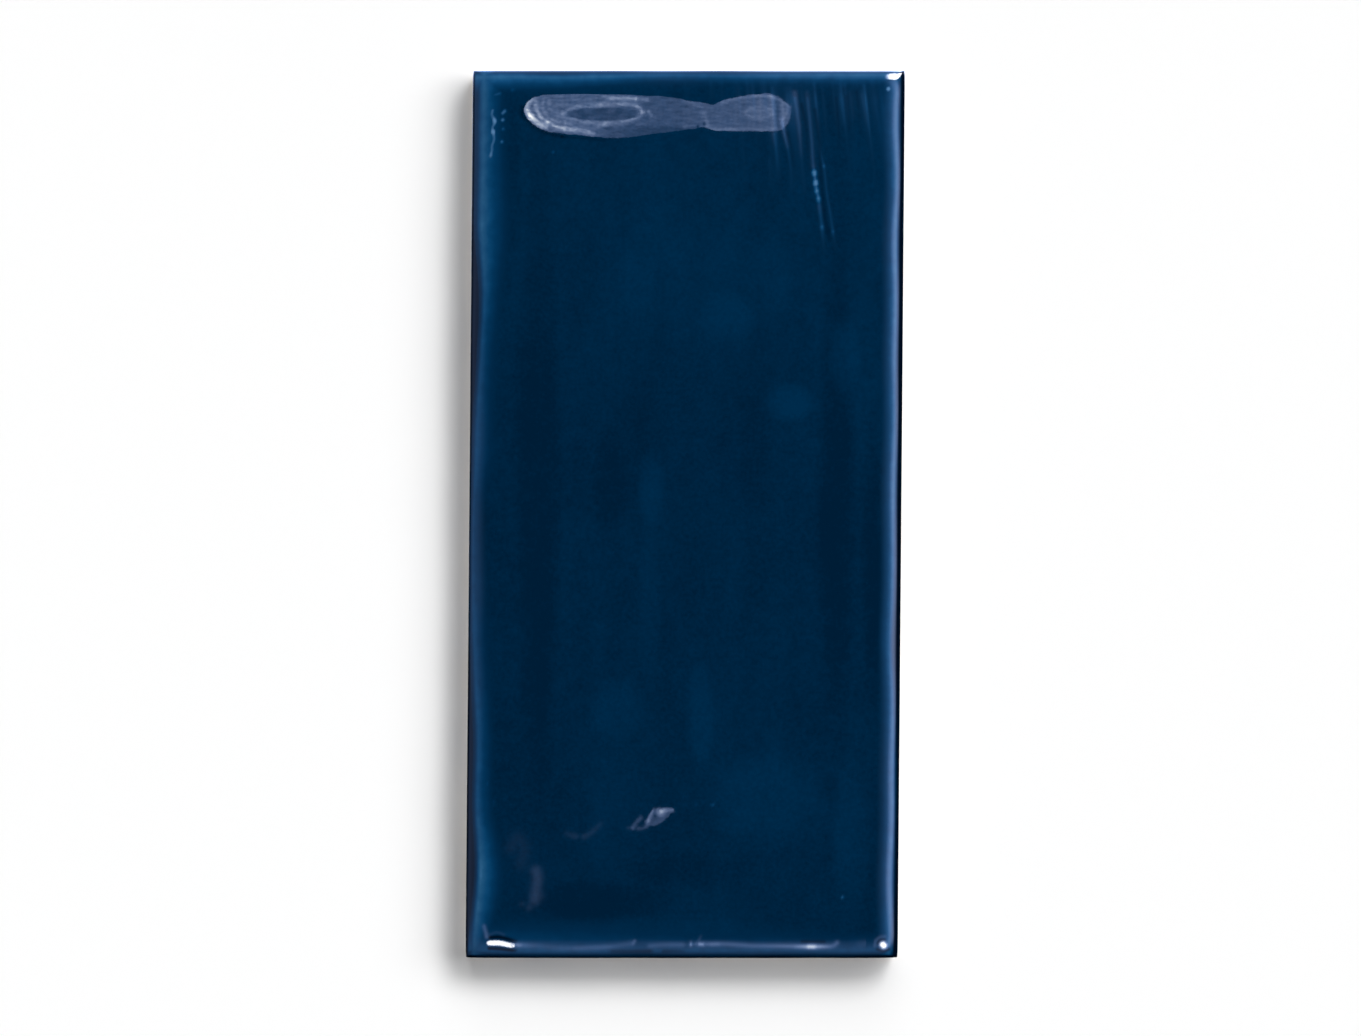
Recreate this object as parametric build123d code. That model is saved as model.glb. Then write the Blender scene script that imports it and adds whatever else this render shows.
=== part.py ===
"""A glazed wall tile with a hand-finished face: one fired piece, in millimetres.

The tile lies face up. X runs across its width, Y along its length from the foot end to the head end, and Z
up from its back. The origin is under the middle of the back, on the plane that the tile is bedded on.
"""

import math
import os

from build123d import *

# Size of the fired tile
TILE_LENGTH = 150.0  # along Y
TILE_WIDTH = 73.0  # along X
TILE_THICKNESS = 8.6  # from the back to the middle of the face, before its swells
OUT_OF_SQUARE = 1.25  # the head end lies this far to the right of the foot end

# Sides and back of the pressed body
SIDE_TAPER = 1.2  # degrees that each side closes in towards the back
BACK_CHAMFER = 0.6

# The face, which rolls over at its edges and swells gently between them
CROWN_RISE = 0.30  # the middle line stands this much over the long sides
EDGE_ROLL_WIDTH = 4.2
EDGE_ROLL_DROP = 1.15
EDGE_ROLL_POWER = 2.2
HEAD_FALL_WIDTH = 18.0  # a longer, shallower fall at the head end only
HEAD_FALL_DROP = 0.40
ARRIS_RADIUS = 1.3  # between the face and the sides
LONG_SWELL_HEIGHT = 0.10
LONG_SWELL_LENGTH = 84.0
LONG_SWELL_SLANT = 0.4  # sideways for each millimetre along
CROSS_SWELL_HEIGHT = 0.05
CROSS_SWELL_LENGTH = 47.0
CROSS_SWELL_SLANT = -0.3
FACE_GRID_STEP = 1.6  # between the points that the face is drawn through
FACE_OVERHANG = 2.0  # the face is drawn this far past the sides, then trimmed
CUT_CLEARANCE = 1.0  # what is cut off starts this far beyond the piece

# Keying grooves pressed into the back, side by side along the length
BACK_BORDER = 6.5  # flat land left round the grooves, at least
GROOVE_WIDTH = 3.4  # at the back's plane
GROOVE_LAND = 2.6  # between two grooves
GROOVE_DEPTH = 0.9
GROOVE_WALL_ANGLE = 30.0  # degrees from upright


def lean(y):
    """How far the tile's middle line lies to the right at y."""
    return OUT_OF_SQUARE * y / TILE_LENGTH


def edge_roll(distance):
    """Drop of the face at a distance from one edge, where the glaze rolls over."""
    reach = max(0.0, 1.0 - distance / EDGE_ROLL_WIDTH)
    return EDGE_ROLL_DROP * reach**EDGE_ROLL_POWER


def head_fall(distance):
    """Drop of the face towards the head end, over a longer reach than the roll."""
    reach = max(0.0, 1.0 - distance / HEAD_FALL_WIDTH)
    return HEAD_FALL_DROP * reach**2


def swells(across, along):
    """Slow rise and fall that the hand finish leaves on the face."""
    long_turn = 2 * math.pi * (along + LONG_SWELL_SLANT * across) / LONG_SWELL_LENGTH
    cross_turn = 2 * math.pi * (across + CROSS_SWELL_SLANT * along) / CROSS_SWELL_LENGTH
    return LONG_SWELL_HEIGHT * math.sin(long_turn) + CROSS_SWELL_HEIGHT * math.cos(cross_turn)


def face_height(across, along):
    """Height of the face over the back, at a place measured from the tile's middle line."""
    to_side = TILE_WIDTH / 2 - abs(across)
    to_end = TILE_LENGTH / 2 - abs(along)
    crown = -CROWN_RISE * (2 * across / TILE_WIDTH) ** 2
    falls = edge_roll(to_side) + edge_roll(to_end) + head_fall(TILE_LENGTH / 2 - along)
    return TILE_THICKNESS + crown + swells(across, along) - falls


def spread(length):
    """Evenly spaced places from one end of a length to the other, both overhanging."""
    reach = length / 2 + FACE_OVERHANG
    count = math.ceil(2 * reach / FACE_GRID_STEP)
    return [reach * (2 * i / count - 1) for i in range(count + 1)]


def face_surface():
    """The whole face as one smooth surface, wider and longer than the tile."""
    rows = [
        [Vector(across + lean(along), along, face_height(across, along)) for across in spread(TILE_WIDTH)]
        for along in spread(TILE_LENGTH)
    ]
    return Face.make_surface_from_array_of_points(rows, tol=0.004, min_deg=3, max_deg=5)


def outline(inset):
    """The tile's slightly leaning outline from above, drawn in by inset on every side."""
    half_width = TILE_WIDTH / 2 - inset
    half_length = TILE_LENGTH / 2 - inset
    corners = [(-1, -1), (1, -1), (1, 1), (-1, 1)]
    points = [(i * half_width + lean(j * half_length), j * half_length) for i, j in corners]
    return make_face(Polyline(*points, close=True))


def pressed_body():
    """The body with its tapered sides, from the back up past the face. It has its full size at the arris."""
    arris_height = TILE_THICKNESS - CROWN_RISE - EDGE_ROLL_DROP - ARRIS_RADIUS / 2
    inset = arris_height * math.tan(math.radians(SIDE_TAPER))
    past_face = TILE_THICKNESS + LONG_SWELL_HEIGHT + CROSS_SWELL_HEIGHT + CUT_CLEARANCE
    body = extrude(outline(inset), amount=past_face, taper=-SIDE_TAPER)
    back_edges = body.edges().group_by(Axis.Z)[0]
    return chamfer(back_edges, BACK_CHAMFER)


def key_groove(length):
    """One round-ended groove with sloping walls, to be cut up into the back."""
    mouth = SlotOverall(length, GROOVE_WIDTH, rotation=90)
    return extrude(mouth, amount=GROOVE_DEPTH, taper=GROOVE_WALL_ANGLE)


def keyed_back():
    """All the grooves, laid side by side and leaning with the tile."""
    pitch = GROOVE_WIDTH + GROOVE_LAND
    grooved_width = TILE_WIDTH - 2 * BACK_BORDER
    count = max(1, int((grooved_width + GROOVE_LAND) // pitch))
    groove = key_groove(TILE_LENGTH - 2 * BACK_BORDER)
    turn = -math.degrees(math.atan2(OUT_OF_SQUARE, TILE_LENGTH))
    places = [pitch * (i - (count - 1) / 2) for i in range(count)]
    return [Pos(x, 0, 0) * Rot(0, 0, turn) * groove for x in places]


def wall_tile():
    """The fired tile: body trimmed to its face, arris rounded, back keyed."""
    body = pressed_body()
    clear_height = body.bounding_box().max.Z + CUT_CLEARANCE
    above_face = extrude(face_surface(), amount=clear_height, dir=(0, 0, 1))
    body = body - above_face
    face = body.faces().sort_by(Axis.Z)[-1]
    body = fillet(face.edges(), ARRIS_RADIUS)
    return body - keyed_back()


os.makedirs("parts", exist_ok=True)
tile = wall_tile()
export_step(tile, "parts/wall_tile.step")
print("wall_tile", tile.bounding_box().size, "volume", round(tile.volume), "mm3")
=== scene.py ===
# %% [markdown]
# # A hand-finished wall tile
#
# The real thing is one slab of pressed clay, 73 by 150 mm and 9 mm thick, dipped face down in a deep blue
# glaze and fired. The glaze runs thin over the rolled edges, where it turns lighter, and stops short of the
# back, which stays bare clay. The imported model is loaded first as a fixed frame, so that every size below is
# measured in it.

# %% Load the frame
import math

import bmesh
import bpy
import numpy as np
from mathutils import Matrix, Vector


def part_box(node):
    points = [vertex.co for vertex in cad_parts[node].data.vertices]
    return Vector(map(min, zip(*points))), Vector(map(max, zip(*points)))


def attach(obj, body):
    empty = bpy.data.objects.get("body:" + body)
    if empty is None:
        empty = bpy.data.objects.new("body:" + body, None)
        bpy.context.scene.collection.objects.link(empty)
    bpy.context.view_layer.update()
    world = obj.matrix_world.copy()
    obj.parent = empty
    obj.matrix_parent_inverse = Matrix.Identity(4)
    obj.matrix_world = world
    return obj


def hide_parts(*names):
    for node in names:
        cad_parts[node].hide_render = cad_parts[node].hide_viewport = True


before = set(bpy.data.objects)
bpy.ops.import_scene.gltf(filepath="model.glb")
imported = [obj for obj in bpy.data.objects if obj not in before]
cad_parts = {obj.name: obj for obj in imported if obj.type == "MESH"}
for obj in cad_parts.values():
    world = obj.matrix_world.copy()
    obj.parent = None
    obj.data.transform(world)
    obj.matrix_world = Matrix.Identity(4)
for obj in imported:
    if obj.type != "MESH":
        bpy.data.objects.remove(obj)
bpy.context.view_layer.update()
tile_low, tile_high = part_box("wall_tile")

# %% [markdown]
# ## Sizes
#
# A tile maker thinks in millimetres, so the shapes below are worked out in millimetres, and one factor turns
# them into Blender's metres when a mesh is made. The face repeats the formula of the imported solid: a crown,
# two slow swells, a roll at each edge and a longer fall at the head end. The finer relief is added to it.

# %% Driving sizes
MM = 0.001
TILE_LENGTH = 150.0
TILE_WIDTH = 73.0
TILE_THICKNESS = 8.6
OUT_OF_SQUARE = 1.25  # the head end lies this far to the right of the foot end
SIDE_TAPER = math.radians(1.2)
BACK_CHAMFER = 0.6

CROWN_RISE = 0.30
EDGE_ROLL_WIDTH = 4.2
EDGE_ROLL_DROP = 1.15
EDGE_ROLL_POWER = 2.2
HEAD_FALL_WIDTH = 18.0
HEAD_FALL_DROP = 0.40
LONG_SWELL_HEIGHT = 0.10
LONG_SWELL_LENGTH = 84.0
LONG_SWELL_SLANT = 0.4
CROSS_SWELL_HEIGHT = 0.05
CROSS_SWELL_LENGTH = 47.0
CROSS_SWELL_SLANT = -0.3

BACK_BORDER = 6.5
GROOVE_WIDTH = 3.4
GROOVE_LAND = 2.6
GROOVE_DEPTH = 0.9
GROOVE_WALL_ANGLE = math.radians(30)

print("tile", TILE_WIDTH, "x", TILE_LENGTH, "mm, in a box of",
      [round((high - low) / MM, 2) for low, high in zip(tile_low, tile_high)], "mm")

# %% [markdown]
# ## Where things lie on the face
#
# A place on the face is given as across and along, in millimetres from the middle: across is measured from
# the tile's own middle line, which leans with its sides. The picture that the tile is matched to is 1361 by
# 1036 pixels, and 5.92 of its pixels are a millimetre, so a mark seen in it is carried over by one function.

# %% From the picture to the face
PICTURE_WIDTH, PICTURE_HEIGHT = 1361, 1036
PIXELS_PER_MM = 5.92  # at the height where the outline is widest
TILE_MIDDLE_PIXEL = (685.3, 513.9)
CAMERA_DISTANCE = 900.0  # millimetres over the outline
OUTLINE_HEIGHT = 6.5
FACE_PIXELS_PER_MM = PIXELS_PER_MM * CAMERA_DISTANCE / (CAMERA_DISTANCE + OUTLINE_HEIGHT - TILE_THICKNESS)

picture_centre = (PICTURE_WIDTH / 2, PICTURE_HEIGHT / 2)
camera_x = (picture_centre[0] - TILE_MIDDLE_PIXEL[0]) / PIXELS_PER_MM
camera_y = (TILE_MIDDLE_PIXEL[1] - picture_centre[1]) / PIXELS_PER_MM


def lean(along):
    """How far the tile's middle line lies to the right at a place along it."""
    return OUT_OF_SQUARE * along / TILE_LENGTH


def place(pixel_x, pixel_y):
    """The place on the face, across and along, that a pixel of the picture shows."""
    along = camera_y + (picture_centre[1] - pixel_y) / FACE_PIXELS_PER_MM
    return camera_x + (pixel_x - picture_centre[0]) / FACE_PIXELS_PER_MM - lean(along), along


def pixel(across, along):
    """The pixel of the picture that shows a place on the face."""
    pixel_x = picture_centre[0] + (across + lean(along) - camera_x) * FACE_PIXELS_PER_MM
    return pixel_x, picture_centre[1] - (along - camera_y) * FACE_PIXELS_PER_MM


print("the picture's middle lies", [round(v, 1) for v in place(*picture_centre)], "mm from the tile's")

# %% [markdown]
# ## The camera
#
# The picture looks straight down on the tile, from far enough away that its sides don't show. A long lens at
# 0.9 m does that. Its focal length follows from the width that the picture covers at the face.

# %% Camera
SENSOR_WIDTH = 36.0

camera_place = (camera_x, camera_y, OUTLINE_HEIGHT + CAMERA_DISTANCE)
camera_data = bpy.data.cameras.new("camera")
camera_data.sensor_width = SENSOR_WIDTH
camera_data.lens = SENSOR_WIDTH * CAMERA_DISTANCE / (PICTURE_WIDTH / PIXELS_PER_MM)
camera = bpy.data.objects.new("camera", camera_data)
camera.location = [value * MM for value in camera_place]
bpy.context.scene.collection.objects.link(camera)
bpy.context.scene.camera = camera
bpy.context.scene.view_settings.view_transform = "Standard"
print("camera", round(camera_data.lens, 1), "mm lens at", [round(v, 1) for v in camera_place], "mm")

# %% [markdown]
# ## The shape of the face
#
# The face is a height field: one height for each place. Written on whole arrays of numbers at once, the
# formula gives every vertex in one call, and its slope can be measured wherever it is needed.

# %% Height of the face
def edge_roll(distance):
    """Drop of the face at a distance from one edge, where the glaze rolls over."""
    reach = np.clip(1 - distance / EDGE_ROLL_WIDTH, 0, 1)
    return EDGE_ROLL_DROP * reach**EDGE_ROLL_POWER


def head_fall(distance):
    """Drop of the face towards the head end, over a longer reach than the roll."""
    return HEAD_FALL_DROP * np.clip(1 - distance / HEAD_FALL_WIDTH, 0, 1) ** 2


def swells(across, along):
    """Slow rise and fall that the hand finish leaves on the face."""
    long_turn = 2 * math.pi * (along + LONG_SWELL_SLANT * across) / LONG_SWELL_LENGTH
    cross_turn = 2 * math.pi * (across + CROSS_SWELL_SLANT * along) / CROSS_SWELL_LENGTH
    return LONG_SWELL_HEIGHT * np.sin(long_turn) + CROSS_SWELL_HEIGHT * np.cos(cross_turn)


def step_up(value, low, high):
    """From 0 at low to 1 at high, with soft ends."""
    share = np.clip((value - low) / (high - low), 0, 1)
    return share * share * (3 - 2 * share)


def to_edges(across, along):
    """Distances to the left, right, foot and head edges."""
    half_width, half_length = TILE_WIDTH / 2, TILE_LENGTH / 2
    return across + half_width, half_width - across, along + half_length, half_length - along


# %% [markdown]
# Fired glaze is never quite even. Short ripples stay in it from the dip, and its edges wander. Both are sums
# of a few sine waves with random directions and phases, drawn from a seeded generator so that each run gives
# the same tile. A sum of waves is smooth everywhere, which a gloss surface needs: its reflections show every
# kink in the slope.

# %% Ripples and wandering edges
RIPPLE_SETS = ((11, 22.0, 0.006), (12, 11.0, 0.0012), (13, 6.0, 0.0002))  # seed, wavelength, height
EDGE_WANDER = 0.16  # how far the inner line of an edge's roll wanders
EDGE_WANDER_LENGTH = 17.0


def waves(seed, across, along, wavelength, stretch=1.6, count=9):
    """A sum of waves of about one wavelength, from -1 to 1. They run longer along the tile by stretch."""
    draw = np.random.default_rng(seed)
    total = 0
    for _ in range(count):
        turn, phase = draw.uniform(0, 2 * math.pi, 2)
        length = wavelength * draw.uniform(0.75, 1.35)
        travel = np.cos(turn) * across + np.sin(turn) * along / stretch
        total = total + np.sin(2 * math.pi * travel / length + phase)
    return total / math.sqrt(count)


def ripples(across, along):
    """Height of the glaze's short ripples."""
    return sum(height * waves(seed, across, along, length) for seed, length, height in RIPPLE_SETS)


def wander(seed, distance_along_edge):
    """How far the inner line of an edge's roll wanders, in millimetres."""
    return EDGE_WANDER * waves(seed, distance_along_edge, 0, EDGE_WANDER_LENGTH, count=5)


ripple_sample = ripples(np.linspace(-30, 30, 200), np.linspace(-60, 60, 200))
print("ripples reach", round(float(np.abs(ripple_sample).max()) * 1000, 1), "micrometres")

# %% [markdown]
# ## Drawing with strokes
#
# The small marks in the glaze, and later the shapes of the lamps that it mirrors, are all drawn the same way:
# as soft strokes along a few points of the picture. A smooth curve is led through the points, and each vertex
# takes a value that falls off with its distance from the curve.

# %% Strokes
def smooth_path(points, steps=6):
    """A smooth curve through points, as more points."""
    known = np.array(points, float)
    if len(known) < 3:
        return known
    padded = np.vstack([2 * known[0] - known[1], known, 2 * known[-1] - known[-2]])
    curve = []
    for before, start, end, after in zip(padded, padded[1:], padded[2:], padded[3:]):
        pull, bend = end - before, 2 * before - 5 * start + 4 * end - after
        twist = 3 * start - before - 3 * end + after
        for t in np.arange(steps) / steps:
            curve.append(0.5 * (2 * start + pull * t + bend * t**2 + twist * t**3))
    return np.array(curve + [known[-1]])


def stroke(pixel_x, pixel_y, points, width, start=1.0, end=1.0):
    """A soft stroke along points: start at its first, end at its last, and fading to 0 over its width."""
    curve = smooth_path(points)
    if len(curve) == 1:
        curve = np.vstack([curve, curve + (0.01, 0)])
    travel = np.concatenate([[0], np.cumsum(np.hypot(*np.diff(curve, axis=0).T))])
    drawn = np.zeros(np.broadcast(pixel_x, pixel_y).shape)
    reach = 3 * width
    low, high = curve.min(0) - reach, curve.max(0) + reach
    near = (pixel_x > low[0]) & (pixel_x < high[0]) & (pixel_y > low[1]) & (pixel_y < high[1])
    x, y = pixel_x[near], pixel_y[near]
    nearest, strength = np.full(x.shape, np.inf), np.zeros(x.shape)
    for number, ((x0, y0), (x1, y1)) in enumerate(zip(curve, curve[1:])):
        run_x, run_y = x1 - x0, y1 - y0
        share = np.clip(((x - x0) * run_x + (y - y0) * run_y) / (run_x**2 + run_y**2), 0, 1)
        apart = np.hypot(x - x0 - share * run_x, y - y0 - share * run_y)
        done = (travel[number] + share * (travel[number + 1] - travel[number])) / travel[-1]
        strength = np.where(apart < nearest, start + (end - start) * done, strength)
        nearest = np.minimum(nearest, apart)
    drawn[near] = strength * np.exp(-((nearest / width) ** 2))
    return drawn


def drawn(pixel_x, pixel_y, strokes):
    """The sum of strokes, each given as points, width, and strength at its start and end."""
    return sum(stroke(pixel_x, pixel_y, *line) for line in strokes)


print("a stroke's curve has", len(smooth_path([(0, 0), (1, 1), (2, 0)])), "points")

# %% [markdown]
# ## Small marks in the glaze
#
# A row of blisters lies near the left edge, where gas came out of the clay, and a few lone ones elsewhere. At
# the head's right, something dragged through the wet glaze and left fine tilted lines, one of them beaded.
# They come in gently a little below the edge. Each mark is a small bump in the same height field, so it
# catches the light from any side. Over the blisters and beads the lighter colour is partly a painted glint,
# and the two spots low on the foot line are painted highlights. Their places are read off the picture, as
# chance would put them elsewhere.

# %% Blisters
BLISTER_HEIGHT = 0.012
# Points of the picture, width in its pixels, and strength
BLISTERS = [
    ([(492.4, 110), (491.8, 114.6), (494, 119), (494.7, 122.4), (492.4, 127.4), (493, 131.7), (494, 138.9),
      (491.8, 146), (491.8, 150), (490.4, 156)], 2.2, 0.55),
    ([(493, 131.7)], 2.3, 0.5), ([(494.2, 120.6)], 2.6, 0.38), ([(490.6, 155)], 2.5, 0.15),
    ([(502.6, 113), (504.6, 111)], 2.4, 0.55), ([(502.6, 119.8)], 2.5, 0.6), ([(503, 128.9)], 2.5, 0.42),
    ([(501.7, 141.7)], 2.4, 0.5), ([(495, 94.6), (499.5, 93.2)], 2.6, 0.4), ([(512.4, 89.6)], 2.6, 0.35),
    ([(486, 79)], 5.4, 0.2), ([(544, 153.5)], 2.2, 0.16), ([(553, 152)], 2.2, 0.34),
    ([(638, 174)], 2.0, 0.12), ([(687, 190)], 1.9, 0.1),
    ([(488, 742), (488.3, 752), (487, 760), (488, 768)], 2.1, 0.14), ([(487.3, 783)], 2.0, 0.36),
    ([(492.3, 789)], 1.8, 0.25), ([(493.5, 803)], 1.9, 0.4), ([(500, 870.6)], 1.9, 0.4),
    ([(695.5, 803.7)], 1.8, 0.35), ([(712.2, 804.6)], 2.1, 0.45), ([(842.4, 896.8)], 2.1, 0.45),
    ([(859, 892.7)], 1.7, 0.2), ([(884.4, 899)], 2.1, 0.5), ([(826.6, 909.5)], 1.6, 0.15),
    # On this line, the spots at 691 and at 699 to 703 pixels across lie on the foot line and are painted
    # highlights
    ([(888.6, 88.6)], 2.5, 0.9), ([(690.8, 944.3)], 2.8, 0.55), ([(699, 944.3), (703, 944.4)], 2.4, 0.4),
    ([(883, 80)], 4.0, 0.1), ([(881.6, 96), (884, 101)], 4.0, 0.12), ([(884.4, 112)], 3.4, 0.1),
    ([(882.6, 121), (885, 127)], 3.6, 0.12), ([(886, 138)], 3.4, 0.18),
]

print(len(BLISTERS), "blisters")

# %% Drag lines
DRAG_HEIGHT = 0.0003
DRAG_START = (74, 102)  # pixels down the picture over which they come in
FAN_COUNT = 44
FAN_LEFT, FAN_RIGHT, FAN_TOP = 738, 880, 76  # pixels of the picture
BEAD_WIDTH = 2.9
# Points of the picture, width in its pixels, and strength at the start and at the end
DRAGS = [
    ([(782.4, 122), (785, 136.7), (788, 150), (790.8, 170), (791.7, 190)], 1.8, 0.6, 0.25),
    ([(795, 98), (799.2, 126.7), (801.7, 156.7), (804.7, 192)], 1.9, 0.55, 0.22),
    ([(807.5, 98), (810.8, 130), (813, 163), (814.2, 172)], 1.9, 0.35, 0.5),
    ([(814.3, 172), (816.4, 190), (818.6, 198.6), (822, 227)], 2.4, 0.75, 0.55),
    ([(822, 227), (824.5, 258)], 2.2, 0.55, 0.05), ([(817, 141), (824, 166)], 1.8, 0.2, 0.45),
    ([(824, 166), (827, 194), (830, 212), (833, 232)], 1.8, 0.45, 0.5),
    ([(833, 232), (836, 250)], 1.8, 0.4, 0.1),
    ([(774, 134), (776, 156), (777.5, 182)], 1.8, 0.42, 0.12), ([(769, 160), (771, 190)], 1.8, 0.25, 0.1),
    ([(839, 88), (842.5, 124)], 1.6, 0.25, 0.1), ([(850, 88), (855, 150)], 1.8, 0.35, 0.08),
    ([(861, 90), (866.5, 134)], 1.8, 0.32, 0.08), ([(869, 88), (877, 142)], 1.8, 0.32, 0.08),
    ([(711, 80), (712, 97)], 2.0, 0.6, 0.35), ([(686, 82), (687, 95)], 1.5, 0.5, 0.3),
    ([(721, 78), (722, 96)], 1.8, 0.6, 0.3),
]
# Darker lines in the glaze's colour: painted dark halos round the bar, the foot's highlight, the right dot
# and the long lamp's image, painted shade under the foot line, and darker lines beside the drag lines
PAINTED_SHADE_AND_DARK_LINES = [
    ([(490, 937.6), (499, 937.2), (507, 939), (514, 941.4)], 1.7, 0.9, 0.9),
    ([(489, 948.6), (500, 949.2), (514, 950.8)], 1.5, 0.9, 0.9),
    ([(802, 941.6), (824, 941.8)], 1.5, 0.5, 0.5),
    ([(612, 951.6), (632, 952), (650, 951.6)], 2.4, 0.3, 0.45), ([(664, 951.6), (682, 951.4)], 2.0, 0.3, 0.2),
    ([(877.6, 949.6), (883.5, 951.4), (889, 949.6)], 1.4, 0.6, 0.6),
    ([(878, 943.4), (880, 940.6), (884.4, 939.6)], 1.3, 0.55, 0.5),
    ([(521.6, 106), (522, 114), (528, 121.4), (536, 128), (546, 132.6), (562, 136.4)], 1.9, 0.6, 0.5),
    ([(562, 136.4), (590, 138.6), (606, 140.6)], 1.6, 0.4, 0.3),
    ([(788, 133), (792, 150), (795, 170)], 1.8, 0.25, 0.1),
    ([(801.6, 104), (806.5, 130), (808.6, 168)], 1.8, 0.4, 0.15),
    ([(815, 110), (818.5, 132), (820.5, 168), (824, 208), (829.5, 240)], 2.0, 0.3, 0.35),
    ([(846.6, 96), (850, 130)], 1.7, 0.25, 0.1), ([(857, 92), (862, 136)], 1.7, 0.25, 0.1),
    ([(836, 98), (839.6, 140)], 1.8, 0.25, 0.1),
]
# Point, and strength
BEADS = [((814.3, 173), 0.6), ((815.8, 183), 0.8), ((816.9, 190.6), 0.5), ((818.6, 198.8), 0.42)]


def fan():
    """Faint drag lines between the strong ones, spread over the head's right."""
    draw = np.random.default_rng(22)
    lines = []
    for head_x in np.linspace(FAN_LEFT, FAN_RIGHT, FAN_COUNT):
        head_x, head_y = head_x + draw.normal(0, 1.6), FAN_TOP + draw.uniform(0, 12)
        length, tilt = draw.uniform(40, 130), 0.07 + 0.05 * (head_x - FAN_LEFT) / (FAN_RIGHT - FAN_LEFT)
        foot = (head_x + tilt * length, head_y + length)
        lines.append(([(head_x, head_y), foot], draw.uniform(1.4, 2.8), draw.uniform(0.12, 0.5), 0.02))
    return lines


print(len(DRAGS) + FAN_COUNT, "drag lines and", len(BEADS), "beads along one")


# %% [markdown]
# Each kind of mark becomes one field: a number from 0 to about 1 for each place. The same fields raise the
# face here and thin the glaze further on, so shape and colour can't come apart. Over the blisters and beads
# that lighter colour is partly a painted glint.

# %% Marks as fields over the face
def blister_field(across, along):
    """From 0 to 1 over each blister and bead."""
    pixel_x, pixel_y = pixel(across, along)
    spots = BLISTERS + [([bead], BEAD_WIDTH, strength) for bead, strength in BEADS]
    total = sum(stroke(pixel_x, pixel_y, points, width, size, size) for points, width, size in spots)
    return np.clip(total, 0, 1)


def drag_field(across, along):
    """From 0 to about 1 over each drag line."""
    pixel_x, pixel_y = pixel(across, along)
    total = drawn(pixel_x, pixel_y, DRAGS + fan()) * step_up(pixel_y, *DRAG_START)
    return np.clip(total, 0, 1.2)


def smooth_height(across, along):
    """Height over the back of the face with its ripples, but without the small marks."""
    left, right, foot, head = to_edges(across, along)
    crown = -CROWN_RISE * (2 * across / TILE_WIDTH) ** 2
    rolls = edge_roll(left + wander(31, along)) + edge_roll(right + wander(32, along))
    rolls = rolls + edge_roll(foot + wander(33, across)) + edge_roll(head + wander(34, across))
    body = TILE_THICKNESS + crown + swells(across, along) - rolls - head_fall(head)
    return body + ripples(across, along)


def face_height(across, along):
    """Height of the finished face over the back."""
    marks = BLISTER_HEIGHT * blister_field(across, along) + DRAG_HEIGHT * drag_field(across, along)
    return smooth_height(across, along) + marks


print("height at the middle", round(float(face_height(np.zeros(1), np.zeros(1))[0]), 3), "mm")

# %% [markdown]
# ## One closed mesh for the tile
#
# The tile is one fired piece, so it is one closed mesh, built from the face outwards and down. The face is a
# grid whose lines lie closer together where the detail is: at the edges, over the blisters and over the drag
# lines. Its outer loop is then carried over the arris, down the glazed side, in under the lip of the glaze,
# down the bare clay and round the chamfer to the back. That keeps every loop the same length, so each pair
# of loops is joined by a plain band of quads.

# %% Grid of the face
ARRIS_REACH = 0.72  # how far in from the outline the arris starts


def grid_lines(*stretches):
    """Places of the grid lines over stretches of (start, end, spacing)."""
    places = [stretches[0][0]]
    for start, end, spacing in stretches:
        count = max(1, round((end - start) / spacing))
        places += list(np.linspace(start, end, count + 1)[1:])
    return np.array(places)


half_width, half_length = TILE_WIDTH / 2 - ARRIS_REACH, TILE_LENGTH / 2 - ARRIS_REACH
LEFT_DETAIL, DRAGS_LEFT, DRAGS_RIGHT = -29.5, 8.0, 32.0  # places across between which the spacing changes
FOOT_DETAIL, DRAGS_FOOT, HEAD_DETAIL = -70.0, 42.0, 58.0  # and along
columns = grid_lines((-half_width, LEFT_DETAIL, 0.2), (LEFT_DETAIL, DRAGS_LEFT, 0.48),
                     (DRAGS_LEFT, DRAGS_RIGHT, 0.24), (DRAGS_RIGHT, half_width, 0.2))
rows = grid_lines((-half_length, FOOT_DETAIL, 0.2), (FOOT_DETAIL, DRAGS_FOOT, 0.6),
                  (DRAGS_FOOT, HEAD_DETAIL, 0.4), (HEAD_DETAIL, half_length, 0.24))
grid_across, grid_along = np.meshgrid(columns, rows)
grid_height = face_height(grid_across, grid_along)
print("face grid", len(columns), "x", len(rows), "lines, so", (len(columns) - 1) * (len(rows) - 1), "quads")

# %% [markdown]
# The outer loop runs once round the grid. Each of its points has a way out: straight to the side, or
# diagonally at a corner. The slope of the face there sets where the arris takes over from the roll, so the
# two meet without a kink.

# %% The loop round the face
CORNER_RADIUS = 0.25

last_column, last_row = len(columns) - 1, len(rows) - 1
loop = (
    [(0, column) for column in range(last_column)]
    + [(row, last_column) for row in range(last_row)]
    + [(last_row, column) for column in range(last_column, 0, -1)]
    + [(row, 0) for row in range(last_row, 0, -1)]
)
loop_rows, loop_columns = np.array(loop).T
loop_across, loop_along = columns[loop_columns], rows[loop_rows]
way_across = np.where(loop_columns == 0, -1, np.where(loop_columns == last_column, 1, 0))
way_along = np.where(loop_rows == 0, -1, np.where(loop_rows == last_row, 1, 0))
loop_height = face_height(loop_across, loop_along)

STEP = 0.05
inner_height = face_height(loop_across - STEP * way_across, loop_along - STEP * way_along)
loop_slope = np.arctan((inner_height - loop_height) / STEP)
corner = (way_across != 0) & (way_along != 0)
loop_slope[corner] = np.median(loop_slope[~corner])
loop_travel = np.concatenate([[0], np.cumsum(np.hypot(np.diff(loop_across), np.diff(loop_along)))])
print("loop of", len(loop), "points, slope there", np.degrees(loop_slope).min().round(1), "to",
      np.degrees(loop_slope).max().round(1), "degrees")


# %% [markdown]
# Every further loop is this one moved out and down. Its corners are drawn in to a small radius on the way, as
# the mould's corners are.

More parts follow.
